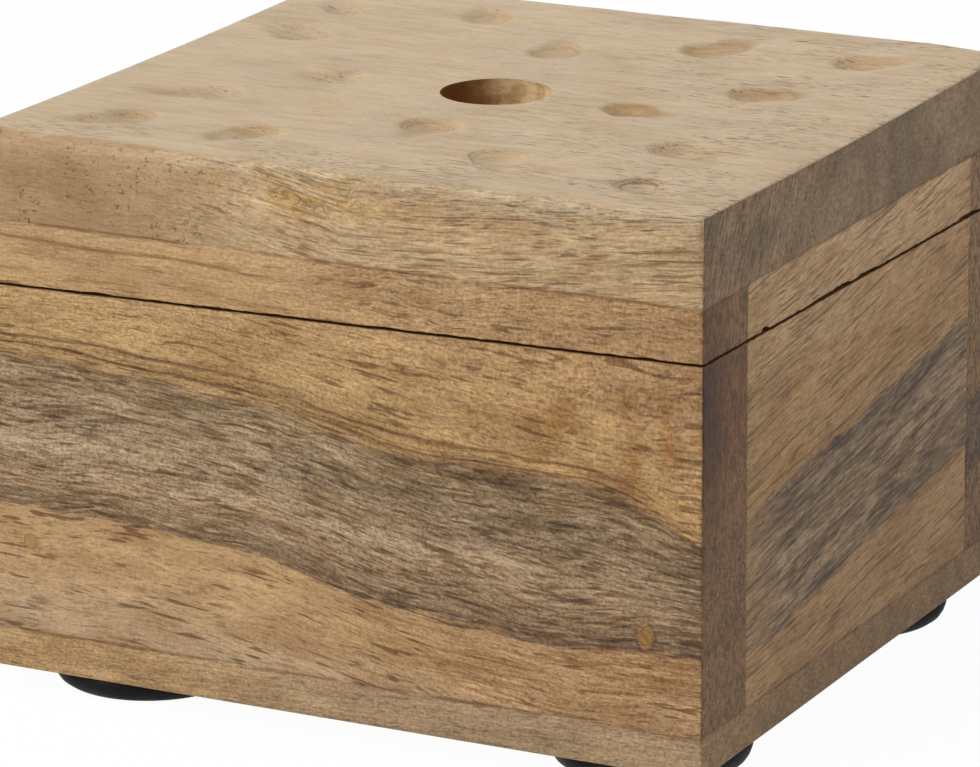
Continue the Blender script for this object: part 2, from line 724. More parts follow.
def front_band(x, lie, feather):
    """The striped colour of the board, and how far a point is inside the stained band."""
    base = feather.ramp(FRONT_STRIPES)
    patch = lie.drawn_out(11, 3.0, 10.0, 2)
    base = base.tinted(patch.fade(0.5, 0.66), (0.86, 0.8, 0.72, 1))
    base = base.tinted(patch.fade(0.5, 0.32), (1.14, 1.14, 1.13, 1))
    band = feather.fade(-10.3, -9.6) * feather.fade(10.6, 9.0)
    smoke = lie.drawn_out(9, 2.0, 11.0, 2).fade(0.47, 0.66) * band * feather.fade(-2, 4)
    base = base.tinted(smoke * x.fade(-50, -10, 0.35, 1.0), (0.68, 0.67, 0.61, 1))
    base = banded(base, lie, band, 12.0, (0.56, 0.47, 0.38, 1))
    pale = x.fade(-14, -34) * feather.bell(-1.0, 2.6)
    return (pale * 0.75).mix(base, tone(188, 164, 131)), band


print("front stripes:", len(FRONT_STRIPES))

# %% [markdown]
# Single rings show as thin dark lines above the band, and coarser cords run below it. At the upper
# right the fibres curl, which shows as broad bars across the grain, light and dark by turns. Each of
# these marks fades in and out along the board, because no line on real wood runs its whole length.

# %% Front board: ring lines, cords and curl
def front_lines(recipe, base, x, z, ring, lie, feather):
    """Dark ring lines above the band, cords below it and bars of curl at the upper right."""
    fine_ring = ring + lie.sway(14, 2.0, 16.0, 1.2, 2)
    lines = fine_ring.bell(13.0, 0.38).math("MAXIMUM", fine_ring.bell(11.6, 0.34))
    base = base.tinted(lines * x.fade(8, -24), (0.42, 0.33, 0.28, 1))
    lines = fine_ring.bell(10.9, 0.3).math("MAXIMUM", fine_ring.bell(12.3, 0.28))
    base = base.tinted(lines * x.fade(-14, 0) * x.fade(47, 41), (0.5, 0.39, 0.3, 1))
    cords = lie.drawn_out(13, 0.5, 17.0, 2).fade(0.5, 0.62)
    cords = cords * feather.fade(-9.8, -10.6) * x.fade(-14, 22)
    base = base.tinted(cords * 0.9, (0.68, 0.57, 0.46, 1))
    threads = lie.drawn_out(9, 0.4, 15.0, 2).fade(0.5, 0.62) * ring.bell(11.0, 3.0)
    base = base.tinted(threads * 0.8, (0.58, 0.5, 0.42, 1))
    base = base.tinted(x.fade(-12, 44), (0.875, 0.84, 0.82, 1))
    base = base.tinted(z.fade(53, 56) * x.fade(14, 34), (0.95, 0.94, 0.92, 1))
    base = base.tinted(ring.bell(27.9, 0.45) * x.fade(-2, -16), (0.62, 0.52, 0.42, 1))
    bars = recipe.point(x * (1 / 4.2), z * (1 / 8), 3.0).noise(0.5)
    curled = x.fade(18, 36) * feather.fade(9, 12) * z.fade(56, 46)
    base = base.tinted(bars.fade(0.46, 0.66) * curled, (0.84, 0.7, 0.52, 1))
    return base.tinted(bars.fade(0.46, 0.34) * curled, (1.14, 1.15, 1.12, 1))


print("front lines ready")

# %% [markdown]
# The putty over the two front nails was rubbed off with a thumb and left a smear round each plug.
# The board's end, where the box is picked up, is stained by hands, and a saw left short ticks on the
# front's right edge. All three are found by their distance from a place on the board.

# %% Front board: plugs, handled end and saw ticks
PLUG_X = 42.5
PLUG_Z = 20.0


def front_marks(recipe, base, x, y, z, plain, ahead):
    """Putty smeared round the two plugs, and the stain of hands on the board's end."""
    from_plug = recipe.point(x.math("ABSOLUTE") - PLUG_X, (z - PLUG_Z) * 0.75, 0.0)
    reach = from_plug.length() + plain.sway(1.4, 1.4, 29.0, 0.6, 1)
    smeared = ahead * x.fade(-10, 10, 0.4, 1.0)
    base = base.tinted(reach.bell(1.35, 0.3) * smeared, (0.76, 0.7, 0.62, 1))
    base = (reach.fade(1.2, 0.95) * smeared).mix(base, tone(160, 120, 72))
    end = facing(recipe, 0).fade(0.55, 0.9)
    base = (end * 0.7).mix(base, tone(167, 132, 93))
    stained = z.fade(32, 46) * z.fade(55.5, 53.5)
    base = base.tinted(end * stained * 0.75, (0.72, 0.6, 0.5, 1))
    handled = y.fade(-37.5, -45.5) * z.fade(22, 48) * z.fade(53, 56, 1.0, 0.6)
    return base.tinted(end * handled, (0.36, 0.28, 0.24, 1))


def saw_ticks(recipe, x, z, ahead):
    """Short dark ticks on the front face, along its right edge."""
    reach = x + recipe.point(0.0, z, 0.0).sway(1, 0.7, 27.0, 9.0)
    ticks = recipe.point(x * 0.1, z * 1.7, 5.0).noise(1.0).fade(0.49, 0.56)
    return ticks * reach.fade(45.5, 47.5) * (z - BAND_MIDDLE).math("ABSOLUTE").fade(15, 11) * ahead


print("plugs at", PLUG_X, "mm to either side")

# %% [markdown]
# Now the layers go together. The order matters: stripes first, then lines, then the joints and rims
# that cut across them, and the pores last. Right of the middle the pores run at a slight slant to
# the rings, as fibres do where a board was sawn out of a leaning trunk.

# %% Front board: the whole recipe
def front_board_wood():
    """Golden wood with a wide grey band that dips to the right."""
    material, recipe = new_material("front_board_wood")
    x, y, z = board_place(recipe)
    plain = recipe.point(x, z, y)
    ring, lie = front_rings(recipe, x, y, z, plain)
    feather = ring + lie.sway(18, 1.6, 8.0, 2.2) + lie.sway(5, 0.4, 9.0, 2.6)
    base, band = front_band(x, lie, feather)
    base = front_lines(recipe, base, x, z, ring, lie, feather)
    base = sawn_faces(recipe, joint_lines(recipe, base, x, y, z), plain, x, y)
    ahead = facing(recipe, 1).fade(0.6, 0.9)
    base = front_marks(recipe, base, x, y, z, plain, ahead)
    past = (x - 4.0).math("MAXIMUM", 0.0).math("MINIMUM", 38.0)
    lift = recipe.point(0.0, past * 0.09 * z.fade(62, 26), 0.0)
    slant = recipe.add("ShaderNodeVectorMath", {0: lie, 1: lift}, operation="ADD")
    crowd = lie.drawn_out(14, 4, 21.0, 1).fade(0.38, 0.56)
    quiet = feather.fade(-9.5, -10.5) * x.fade(30, -10)
    rail_left = z.fade(52.5, 55) * x.fade(14, -14)
    pores = pore_dashes(slant, 24.0, crowd) * 0.9 * (quiet * 0.1 + 1.0) * (1.0 - rail_left * 0.5)
    ticks = saw_ticks(recipe, x, z, ahead)
    base = base.tinted(ticks * 0.4, (0.6, 0.52, 0.44, 1))
    pores = pores.math("MAXIMUM", ticks * 0.6)
    contrast = band * 0.2 + 0.95 - quiet * 0.4 - rail_left * 0.35
    finer = {"speckle": 2.4, "veins": 0.75, "ripple": 0.4}
    return timber(recipe, material, base, slant, 0, 2.0, pores, contrast, **finer)


front_wood = front_board_wood()
print("front board nodes:", len(front_wood.node_tree.nodes))

# %% [markdown]
# On the right side the same stain shows as a grey band that rises to the back and fades toward the
# front. The recipe goes the same way as for the front board: a height along the rings, a ramp of
# stripes, streaks in the band. Long thin pores are added, which this face shows most.

# %% Right board
RIGHT_STRIPES = [
    (-20.0, tone(198, 160, 116)),
    (-9.4, tone(198, 159, 114)),
    (-8.7, tone(144, 117, 91)),
    (-6.0, tone(172, 143, 112)),
    (0.0, tone(183, 154, 121)),
    (5.0, tone(164, 138, 109)),
    (7.9, tone(140, 114, 89)),
    (8.7, tone(189, 150, 104)),
    (18.0, tone(194, 154, 108)),
    (26.0, tone(209, 172, 130)),
    (34.0, tone(213, 175, 133)),
]


def right_board_wood():
    """Golden wood whose grey band rises to the back and fades to the front."""
    material, recipe = new_material("right_board_wood")
    x, y, z = board_place(recipe)
    plain = recipe.point(y, z, x)
    ring = z - 27.6 - y * 0.12 + plain.sway(26, 11, 14.0, 2.0)
    lie = recipe.point(y, ring, x)
    feather = ring + lie.sway(14, 1.6, 18.0, 2.4) + lie.sway(5, 0.4, 19.0, 2.4)
    base = feather.ramp(RIGHT_STRIPES)
    patch = lie.drawn_out(11, 3.0, 20.0, 2)
    base = base.tinted(patch.fade(0.46, 0.64), (0.82, 0.77, 0.7, 1))
    band = feather.fade(-9.5, -8.5) * feather.fade(9.0, 8.0) * y.fade(-40, -20, 0.4, 1.0)
    smoke = lie.drawn_out(10, 2.6, 23.0, 2).fade(0.47, 0.58)
    base = base.tinted(smoke * band, (0.54, 0.51, 0.49, 1))
    base = banded(base, lie, band, 22.0, (0.54, 0.49, 0.45, 1))
    base = y.fade(-22, -38, 0.0, 0.65).mix(base, tone(182, 146, 104))
    base = sawn_faces(recipe, joint_lines(recipe, base, x, y, z), plain, x, y)
    crowd = lie.drawn_out(16, 4, 31.0, 1).fade(0.4, 0.58)
    long_pores = lie.drawn_out(14, 0.5, 33.0, 1).fade(0.6, 0.68)
    pores = pore_dashes(lie, 34.0, crowd).math("MAXIMUM", long_pores) * 0.85
    contrast = band * 0.4 + 0.88
    softer = {"grit": 0.7, "fibre_length": 2.2, "veins": 0.75, "ripple": 0.3}
    return timber(recipe, material, base, lie, 1, 12.0, pores, contrast, **softer)


right_wood = right_board_wood()
print("right board nodes:", len(right_wood.node_tree.nodes))

# %% [markdown]
# The left and back boards face away and came from the same tree, so they get a quieter mix of the
# same gold and grey. One function makes both of them, and only the direction of the grain and the
# seed of the noise differ.

# %% Left and back boards
PLAIN_STRIPES = [
    (-20.0, tone(180, 147, 107)),
    (-6.0, tone(176, 143, 103)),
    (-5.0, tone(136, 112, 87)),
    (0.0, tone(152, 127, 100)),
    (4.0, tone(132, 109, 85)),
    (5.4, tone(178, 146, 103)),
    (20.0, tone(180, 148, 105)),
    (40.0, tone(184, 152, 112)),
]


def plain_board_wood(name, along, seed):
    """A quieter board for the sides that face away."""
    material, recipe = new_material(name)
    x, y, z = board_place(recipe)
    far, deep = (x, y) if along == 0 else (y, x)
    plain = recipe.point(far, z, deep)
    ring = z - 24.0 + plain.sway(30, 12, seed, 6.0)
    lie = recipe.point(far, ring, deep)
    feather = ring + lie.sway(16, 1.6, seed + 4, 2.4) + lie.sway(8, 0.5, seed + 5, 2.4)
    base = feather.ramp(PLAIN_STRIPES)
    band = feather.fade(-5.8, -5.0) * feather.fade(5.4, 4.4)
    base = banded(base, lie, band, seed + 10, (0.58, 0.5, 0.42, 1))
    base = sawn_faces(recipe, joint_lines(recipe, base, x, y, z), plain, x, y)
    crowd = lie.drawn_out(16, 4, seed + 7, 1).fade(0.36, 0.56)
    pores = pore_dashes(lie, seed + 8, crowd) * 0.8
    return timber(recipe, material, base, lie, along, seed, pores)


back_wood = plain_board_wood("back_board_wood", 0, 31.0)
left_wood = plain_board_wood("left_board_wood", 1, 43.0)
print("four board woods mixed")

# %% [markdown]
# The lid's rails are the top strips of the same four boards, sawn off with the lid. So each wall and
# the rail above it share one wood, and because the wood is a solid texture the grain runs on across
# the saw cut without any fitting.

# %% Dress the walls and the lid's rails
wall_jobs = {
    "front": (0, front_wood),
    "back": (0, back_wood),
    "left": (1, left_wood),
    "right": (1, right_wood),
}
for place, (long_axis, wood) in wall_jobs.items():
    wall = worn_wall(f"{place}_wall", -1, long_axis, wood)
    rail = worn_wall(f"lid_{place}_rail", 1, long_axis, wood)
    print(place, "board:", len(wall.data.polygons), "and", len(rail.data.polygons), "faces")

# %% [markdown]
# The lid board is the piece that the hand meets. Its top has dried a little hollow, a scent hole
# goes through the middle, and short gouge cuts sit on rays around the hole. A gouge goes in steeply
# and climbs out along its ray, so each cut is a ball's end joined to a trough that runs out at the
# surface, and a function gives its depth at any point.

# %% Gouge cuts on the lid board
HOLE_MIDDLE = (-1.0, 0.4)
HOLE_RADIUS = 7.1
GOUGE_WIDTH = 8.0
GOUGE_DEPTH = 1.1
# Each gouge: ray in degrees, distance of its middle, length, and how ochre the cut wood is
GOUGES = [
    (-2, 20.0, 11, 1.0),
    (100, 25.9, 13, 0.5),
    (182, 25.0, 12, 0.27),
    (269, 21.3, 13, 0.53),
    (24, 34.4, 13, 0.58),
    (66, 38.2, 15, 0.67),
    (119, 44.0, 13, 0.27),
    (155, 44.9, 13, 0.27),
    (205, 39.1, 14, 0.2),
    (240, 39.4, 14, 0.45),
    (296, 36.0, 14, 0.25),
    (333, 39.2, 14, 0.35),
    (44, 51.8, 15, 0.5),
    (140, 54.0, 13, 0.2),
    (221, 51.0, 15, 0.4),
    (316, 53.0, 15, 0.3),
]


def gouge_depth(x, y, ray, distance, length):
    """Depth of one gouge cut at a point of the lid's top."""
    angle = math.radians(ray)
    along = x * math.cos(angle) + y * math.sin(angle)
    across = y * math.cos(angle) - x * math.sin(angle)
    radius = (GOUGE_WIDTH**2 / 4 + GOUGE_DEPTH**2) / (2 * GOUGE_DEPTH)
    start = distance - length / 2 + GOUGE_WIDTH / 2
    climb = GOUGE_DEPTH / (length - GOUGE_WIDTH / 2)
    behind = min(0.0, along - start)
    ahead = max(0.0, along - start)
    reach = radius**2 - across**2 - behind**2
    if reach <= 0:
        return 0.0
    return max(0.0, GOUGE_DEPTH - radius + math.sqrt(reach) - ahead * climb)


def deepest_gouge(x, y):
    """The depth of the deepest gouge cut at a point, and how ochre it is."""
    return max((gouge_depth(x, y, *gouge[:3]), gouge[3]) for gouge in GOUGES)


print("gouges:", len(GOUGES))

# %% [markdown]
# The cuts need a fine grid to show, and the grid is built point by point, because slicing the
# measured board would leave long thin faces round its hole. Three lists hold the places of the grid
# lines, closest at the edges, and small helpers stitch one row of points to the next.

# %% Lid board: grid lines and stitches
LID_STEP = 0.5
LID_RISE_STEP = 1.2
HOLE_MARGIN = 4
HOLE_RINGS = (0.0, 0.02, 0.05, 0.1, 0.18, 0.3, 0.45, 0.62, 0.8)
x_places = grid_places(base_low.x, base_high.x, LID_STEP, EDGE_STEPS, EDGE_STEPS)
y_places = grid_places(base_low.y, base_high.y, LID_STEP, EDGE_STEPS, EDGE_STEPS)
lid_xs = [base_low.x, *x_places, base_high.x]
lid_ys = [base_low.y, *y_places, base_high.y]
lid_zs = grid_places(lid_low.z, LID_EDGE_TOP, LID_RISE_STEP, JOINT_STEP, EDGE_STEPS)


def lid_floor(y):
    """Height of the lid's flat lower face, the same everywhere."""
    return lid_low.z


def nearest(places, value):
    """Which of some places is nearest to a value."""
    return min(range(len(places)), key=lambda i: abs(places[i] - value))


def around(left, right, near, far):
    """Grid keys once round a rectangle."""
    keys = [(i, near) for i in range(left, right)] + [(right, j) for j in range(near, far)]
    return keys + [(i, far) for i in range(right, left, -1)] + [(left, j) for j in range(far, near, -1)]


def stitch(grid, rows):
    """Faces between closed rows of vertices."""
    for lower, upper in zip(rows, rows[1:]):
        for k in range(len(lower)):
            n = (k + 1) % len(lower)
            grid.faces.new((lower[k], lower[n], upper[n], upper[k]))


def join(grid, lower, upper):
    """Rows of vertices and faces from a lower row up to an upper one."""
    rows = [lower]
    for z in lid_zs:
        share = (z - lid_low.z) / LID_THICKNESS
        rows.append([grid.verts.new(a.co.lerp(b.co, share)) for a, b in zip(lower, upper)])
    stitch(grid, rows + [upper])


print("lid grid:", len(lid_xs), "by", len(lid_ys), "lines")

# %% [markdown]
# A grid of squares can't make a round hole. So a square patch is left out of the grid round the
# hole, and rings of faces ease from that square to the circle. The same is done above and below, and
# rows of faces join the two round the rim and down the bore, which closes the board.

# %% Lid board: a grid with a round hole
def lid_layer(grid, square, height):
    """One face of the board, with the square round the hole left out."""
    left, right, near, far = square
    points = {}
    for i, x in enumerate(lid_xs):
        for j, y in enumerate(lid_ys):
            if not (left < i < right and near < j < far):
                points[i, j] = grid.verts.new((x, y, height(y)))
    for i in range(len(lid_xs) - 1):
        for j in range(len(lid_ys) - 1):
            if not (left <= i < right and near <= j < far):
                corners = [points[i, j], points[i + 1, j], points[i + 1, j + 1], points[i, j + 1]]
                grid.faces.new(corners)
    return points


def hole_rows(grid, points, ring, height):
    """Rows of vertices from the hole's circle out to the square."""
    rows = []
    for share in HOLE_RINGS:
        row = []
        for i, j in ring:
            angle = math.atan2(lid_ys[j] - HOLE_MIDDLE[1], lid_xs[i] - HOLE_MIDDLE[0])
            x = HOLE_MIDDLE[0] + HOLE_RADIUS * math.cos(angle)
            y = HOLE_MIDDLE[1] + HOLE_RADIUS * math.sin(angle)
            x, y = x + share * (lid_xs[i] - x), y + share * (lid_ys[j] - y)
            row.append(grid.verts.new((x, y, height(y))))
        rows.append(row)
    return rows + [[points[key] for key in ring]]


def lid_grid():
    """The lid board as a closed bmesh, in millimetres, before wear."""
    grid = bmesh.new()
    span = HOLE_RADIUS + HOLE_MARGIN
    square = [nearest(lid_xs, HOLE_MIDDLE[0] + side * span) for side in (-1, 1)]
    square += [nearest(lid_ys, HOLE_MIDDLE[1] + side * span) for side in (-1, 1)]
    top, bottom = (lid_layer(grid, square, height) for height in (lid_height, lid_floor))
    rim = around(0, len(lid_xs) - 1, 0, len(lid_ys) - 1)
    join(grid, [bottom[key] for key in rim], [top[key] for key in rim])
    ring = around(*square)
    upper = hole_rows(grid, top, ring, lid_height)
    lower = hole_rows(grid, bottom, ring, lid_floor)
    stitch(grid, upper)
    stitch(grid, lower)
    join(grid, lower[0], upper[0])
    return grid


grid = lid_grid()
print("lid grid vertices:", len(grid.verts))

# %% [markdown]
# The lid's top was sanded pale and its front edge is browner. The sanding rolled over the front edge
# unevenly, so the border between the two wanders a little behind the edge. To let the recipe tell
# them apart, each point gets a share of top, of front and of end.

# %% Lid board: faces and tones
def lid_faces(recipe, x, y, plain):
    """How much a point belongs to the top, to the front and to the ends."""
    margin = x.fade(-40, -50, 2.0, 4.0) + plain.sway(14, 14, 53.0, 4.0)
    from_front = y - base_low.y - margin + plain.sway(2.2, 2.2, 51.0, 2.4, 2)
    rolled = from_front.fade(0.9, -0.8) * x.fade(42, 30)
    up = facing(recipe, 2).fade(0.35, 0.98) * (1.0 - rolled)
    ahead = facing(recipe, 1).fade(0.6, 0.95).math("MAXIMUM", rolled)
    return up, ahead, facing(recipe, 0).fade(0.55, 0.9)


def lid_tones(x, y, z, plain, lie, up, ahead, brown):
    """Pale sanded wood on top that spills over the front, and browner wood on the sides."""
    share = plain.drawn_out(13, 9, 61.0, 2).fade(0.38, 0.62)
    top_tone = share.mix(tone(184, 163, 134), tone(191, 169, 138))
    side_tone = share.mix(tone(184, 154, 115), tone(197, 168, 129))
    spill = (z + plain.sway(7, 1.2, 59.0, 5.0, 2)).fade(69.4, 71.6)
    spill = spill * ahead * x.fade(-30, -6, 0.2, 0.75)
    base = up.math("MAXIMUM", spill).mix(side_tone, top_tone)
    base = base.tinted(brown, (0.735, 0.665, 0.605, 1))
    mottle = lie.drawn_out(9, 1.4, 62.0, 2)
    base = base.tinted(mottle.fade(0.48, 0.66) * up, (0.93, 0.89, 0.83, 1))
    base = base.tinted(y.fade(-40, 40), (1.05, 1.06, 1.08, 1))
    base = base.tinted(x.fade(-10, -44) * up, (0.96, 0.96, 0.95, 1))
    cloud = plain.drawn_out(11, 7, 57.0, 3)
    base = base.tinted(cloud.fade(0.5, 0.66) * up, (0.95, 0.92, 0.86, 1))
    return base.tinted(cloud.fade(0.48, 0.34) * up, (1.03, 1.04, 1.06, 1))


print("lid tones ready")

# %% [markdown]
# Inside the scent hole the drill left blotched wood, darker on the left than on the right. The front
# edge holds a knot, whose wood is amber and covered with small scales. Scales that lie side by side
# are what a Voronoi texture draws, and only their outlines are kept.

# %% Lid board: bore and knot
def lid_bore(recipe, x, y, plain, up):
    """How far a point is inside the scent hole, and the hole's colour."""
    from_axis = recipe.point(x - HOLE_MIDDLE[0], y - HOLE_MIDDLE[1], 0.0)
    bore = from_axis.length().fade(8.0, 7.4) * (1.0 - up)
    bore_tone = x.fade(-8, -2).mix(tone(146, 98, 38), tone(230, 197, 150))
    blotch = plain.scaled((0.3, 0.3, 0.3)).noise(2.0).fade(0.42, 0.6)
    return bore, bore_tone.tinted(blotch, (0.72, 0.65, 0.56, 1))


def knot_lace(recipe, x, y, z, plain):
    """The outlines of small curled scales, in patches."""
    curl = recipe.point(x + plain.sway(2.2, 2.2, 68.0, 3.0), y, z + plain.sway(2.0, 2.0, 69.0, 2.6))
    cells = curl.scaled((1 / 1.9, 0.6, 1 / 1.1))
    scales = recipe.add("ShaderNodeTexVoronoi", {"Vector": cells, "Scale": 1.0})
    return scales.bell(0.5, 0.16) * plain.drawn_out(4, 2, 66.0, 1).fade(0.36, 0.54)


print("bore and knot ready")

# %% [markdown]
# Pores look different on each side of the lid: dashes and thin lines on the front, dots where the
# fibres come out at the left, and fine needles on the top. Torn fibres stand along the top's right
# edge like short hairs. The sanded ends show slanting scratches, and the gouges cut through rings.

# %% Lid board: pores, hairs and scratches
def lid_pores(recipe, x, y, plain, lie, up, ahead):
    """Dashes, dots and lines on the front, needles on the top and hairs at its right edge."""
    crowd = lie.drawn_out(14, 4, 63.0, 1).fade(0.4, 0.58)
    dashes = pore_dashes(lie, 64.0, crowd)
    dots = plain.scaled((1.3, 0.5, 1.5)).noise(2.0, 0.7).fade(0.58, 0.7)
    dots = dots * plain.scaled((0.2, 0.1, 0.24)).noise(1.0).fade(0.36, 0.62, 0.25, 1.3)
    stippled = x.fade(-8, -22) * ahead
    dashes = stippled.between(dashes * 0.8, dots * 0.7)
    thin = lie.drawn_out(10, 0.34, 79.0, 1).fade(0.62, 0.68)
    dashes = dashes.math("MAXIMUM", thin * ahead * x.fade(-28, -14, 0.0, 0.75))
    needles = lie.drawn_out(3.4, 0.26, 69.0, 1).fade(0.585, 0.68)
    thick_with = x.fade(-20, 30) + y.fade(-28, -44)
    thick_with = thick_with * plain.drawn_out(16, 8, 70.0, 1).fade(0.35, 0.6)
    marks = up.between(dashes, needles * thick_with)
    hair_reach = x + plain.sway(1.4, 0.8, 72.0, 4.2, 2)
    hairs = recipe.point(x * 0.2, y * 1.5, 7.0).noise(1.0).fade(0.48, 0.58)
    tufts = plain.scaled((0.0, 1 / 4, 0.0)).noise(1.0).fade(0.4, 0.62)
    return marks.math("MAXIMUM", hairs * hair_reach.fade(48.7, 49.4) * (up * tufts))


def lid_scratches(recipe, x, y, z, plain, end, hollow):
    """Light and dark from slanting scratches on the ends and from rings in the gouges."""
    lengthwise = z * 0.9 + y * 0.44
    crosswise = y * 0.9 - z * 0.44
    scratch = recipe.point(lengthwise, crosswise, x).sway(2.6, 0.3, 74.0, 2.4, 1)
    scratch = scratch * end * y.fade(5, -40, 0.1, 1.0)
    sheet = plain.scaled((1 / 11, 1 / 7, 1 / 0.2)).noise(1.0)
    rings = sheet.fade(0.5, 0.62, 0.04, -0.5) * hollow * y.fade(-14, -26, 0.3, 0.9)
    return scratch + rings * z.fade(71.1, 71.4) * x.fade(-22, 4, 0.3, 1.0)


print("lid marks ready")

# %% [markdown]
# The whole recipe joins these layers. Where a gouge went below the sanded skin the wood is ochre. A
# recipe can't see the carving by itself, so the mesh will store on every vertex how deep it is cut
# and how ochre that is, under the names hollow and carved, and Attribute nodes read them here.

# %% Lid board: the whole recipe
def lid_board_wood():
    """Pale sanded wood on top, browner on the edges, ochre where it is carved."""
    material, recipe = new_material("lid_board_wood")
    x, y, z = board_place(recipe)
    plain = recipe.point(x, y, z)
    sweep = ((x + 6.0) * (1 / 13)).math("TANH") * 3.0 - (x - 2.0).math("MAXIMUM", 0.0) * 0.1
    across = y + plain.sway(30, 14, 54.0, 5.0)
    lie = recipe.point(x, across, z + sweep + plain.sway(26, 12, 58.0, 3.0))
    up, ahead, end = lid_faces(recipe, x, y, plain)
    brown = x.fade(-6, -34) * ahead
    base = lid_tones(x, y, z, plain, lie, up, ahead, brown)

    hollow = recipe.add("ShaderNodeAttribute", {}, "Fac", attribute_name="hollow")
    carved = recipe.add("ShaderNodeAttribute", {}, "Fac", attribute_name="carved")
    uneven = plain.drawn_out(3.0, 1.6, 60.0, 2).fade(0.3, 0.6, 0.75, 1.0)
    base = base.tinted(carved * uneven, (0.7, 0.56, 0.37, 1))
    bore, bore_tone = lid_bore(recipe, x, y, plain, up)
    base = joint_lines(recipe, bore.mix(base, bore_tone), x, y, z)

    knot = x.bell(-3, 22) * z.fade(63.5, 68) * (1.0 - bore)
    lace = knot_lace(recipe, x, y, z, plain) * knot * ahead
    amber = plain.drawn_out(4, 2, 67.0, 1).fade(0.48, 0.62)
    base = base.tinted(knot * ahead, (1.17, 1.2, 1.22, 1))
    base = base.tinted(amber * knot * ahead, (0.95, 0.86, 0.68, 1))
    cords = lie.drawn_out(15, 0.45, 65.0, 2).fade(0.5, 0.64)
    base = base.tinted(cords * ahead * x.fade(-24, -4), (0.84, 0.76, 0.66, 1))

    pits = plain.scaled((0.9, 1.3, 0.0)).noise(2.0, 0.7).fade(0.58, 0.7)
    pits = pits * hollow * x.fade(0, -20, 0.15, 0.7)
    marks = lid_pores(recipe, x, y, plain, lie, up, ahead).math("MAXIMUM", lace * 0.6)
    marks = marks.math("MAXIMUM", pits) * (1.0 - bore)
    contrast = up.fade(0.0, 1.0, 0.82, 0.36) - brown.math("MAXIMUM", end) * 0.3
    contrast = contrast * (1.0 - bore * 0.6)
    stain = plain.drawn_out(9, 9, 77.0, 2).fade(0.4, 0.62)
    end_tint = stain.mix((0.61, 0.57, 0.59, 1), (0.43, 0.41, 0.42, 1))
    end_tint = end_tint.tinted(y.fade(-22, -46), (0.88, 0.87, 0.87, 1))
    end_tint = bore.mix(end_tint, (0.9, 0.86, 0.8, 1))
    extra = lid_scratches(recipe, x, y, z, plain, end, hollow)
    finer = {"grit": 0.9, "fibre_length": 2.0, "veins": 0.55, "calm_rims": False}
    finer["speckle"] = bore.fade(0.0, 1.0, 1.3, 0.3)
    return timber(recipe, material, base, lie, 0, 52.0, marks, contrast, end_tint, extra, **finer)


lid_wood = lid_board_wood()
print("lid board nodes:", len(lid_wood.node_tree.nodes))

# %% [markdown]
# Last, the grid is carved and worn. A hand-held gouge wanders, so the place that each vertex looks
# up is shifted by a little noise, and the rims of the cuts are softened. The flat middle of the
# underside needs no grid at all, so its faces are merged again.

# %% Lid board: carve and wear
GOUGE_WANDER = 0.8
RIM_SOFTNESS = 0.22
FULL_CUT = 0.3
TOP_DENTS = 0.06
INSIDE_SHARE = 0.96
carving = grid.verts.layers.float.new("carved")
hollowing = grid.verts.layers.float.new("hollow")
for vertex in grid.verts:
    x, y, z = vertex.co
    moved = worn(vertex.co)
    if z > lid_height(y) - ON_LINE:
        wander = [GOUGE_WANDER * wobble(x, y, 0, 4.5, seed) for seed in (6.1, 9.4)]
        cut, ochre = deepest_gouge(x + wander[0], y + wander[1])
        cut = cut**2 / (cut + RIM_SOFTNESS) * (1 + 0.1 * wobble(x, y, 0, 1.6, 3.3))
        vertex[hollowing] = clamp(cut / FULL_CUT)
        vertex[carving] = clamp(cut / FULL_CUT) * ochre
        moved.z -= cut + TOP_DENTS * (1 + wobble(x, y, 0, 9, 2.2))
    vertex.co = moved * MM


def well_inside(place):
    """Whether a place, in metres, is away from the board's outer edges."""
    return max(abs(place.x) / base_high.x, abs(place.y) / base_high.y) < INSIDE_SHARE * MM


under = [v for v in grid.verts if abs(v.co.z - lid_low.z * MM) < 1e-7]
inside = {v for v in under if well_inside(v.co)}
inner_edges = [e for e in grid.edges if e.verts[0] in inside and e.verts[1] in inside]
bmesh.ops.dissolve_limit(grid, angle_limit=0.01, verts=list(inside), edges=inner_edges)
lid = finished_piece("worn_lid_board", grid, "lid", lid_wood, ["lid_board"])
print("lid board faces:", len(lid.data.polygons))

# %% [markdown]
# A thin board closes the box underneath, and only its edges show. It is sliced and worn by the same
# functions as the walls, so the glue line above it stays flush. Its wood is plainer, brown with
# specks and a little more ochre to the left.

# %% Base board
BASE_RISES = (0.1, 0.3, 0.7, 1.5, 3.0)
BASE_STEPS = (1.0, 1.5)


def base_board_wood():
    """Speckled brown wood, ochre to the left."""
    material, recipe = new_material("base_board_wood")
    x, y, z = board_place(recipe)
    lie = recipe.point(x, y, z)
    patch = lie.drawn_out(12, 5, 71.0, 3).fade(0.35, 0.65)
    pale = patch.mix(tone(156, 129, 99), tone(170, 142, 108))
    ochre = patch.mix(tone(166, 131, 87), tone(184, 151, 107))
    base = joint_lines(recipe, x.fade(10, -40).mix(pale, ochre), x, y, z)
    crowd = lie.drawn_out(16, 4, 75.0, 1).fade(0.36, 0.56)
    pores = pore_dashes(lie, 76.0, crowd) * 0.6
    end_tint = x.fade(-30, 30).mix((0.62, 0.56, 0.5, 1), (0.98, 0.91, 0.8, 1))
    return timber(recipe, material, base, lie, 0, 73.0, pores, 0.9, end_tint, speckle=1.4)


